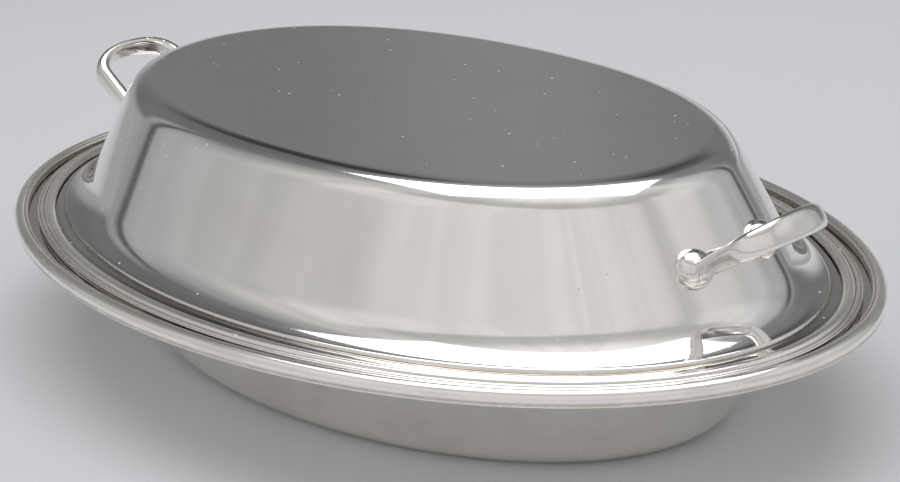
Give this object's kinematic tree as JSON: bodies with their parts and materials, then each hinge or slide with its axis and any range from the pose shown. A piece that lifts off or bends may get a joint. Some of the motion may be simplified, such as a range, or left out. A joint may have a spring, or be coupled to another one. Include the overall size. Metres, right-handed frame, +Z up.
{
  "type": "oval covered serving dish",
  "caption": "Oval vegetable dish with a moulded rim and a domed cover that lifts off; the cover has a strap handle at each end, so turned over it serves as a second dish",
  "frame": {"origin": "on the table, under the middle of the dish", "axes": "+X along the oval towards one handle, +Y across it, +Z up from the table"},
  "size_m": [0.3, 0.202, 0.0807],
  "materials": {
    "polished_silver": "raised sheet silver, bright polish with fine scratches",
    "wire_silver": "moulded silver wire, polished, tarnish left in the grooves",
    "cast_silver": "cast silver, polished, soft casting dents"
  },
  "bodies": {
    "dish": {"dish_bowl": "polished_silver", "dish_border": "wire_silver"},
    "cover": {"cover_bowl": "polished_silver", "cover_border": "wire_silver", "handle_right": "cast_silver", "handle_left": "cast_silver"}
  },
  "joints": [
    {"name": "cover_lift", "type": "slide", "parent": "dish", "child": "cover", "axis": [0, 0, 1], "range_m": [0, 0.08]}
  ]
}
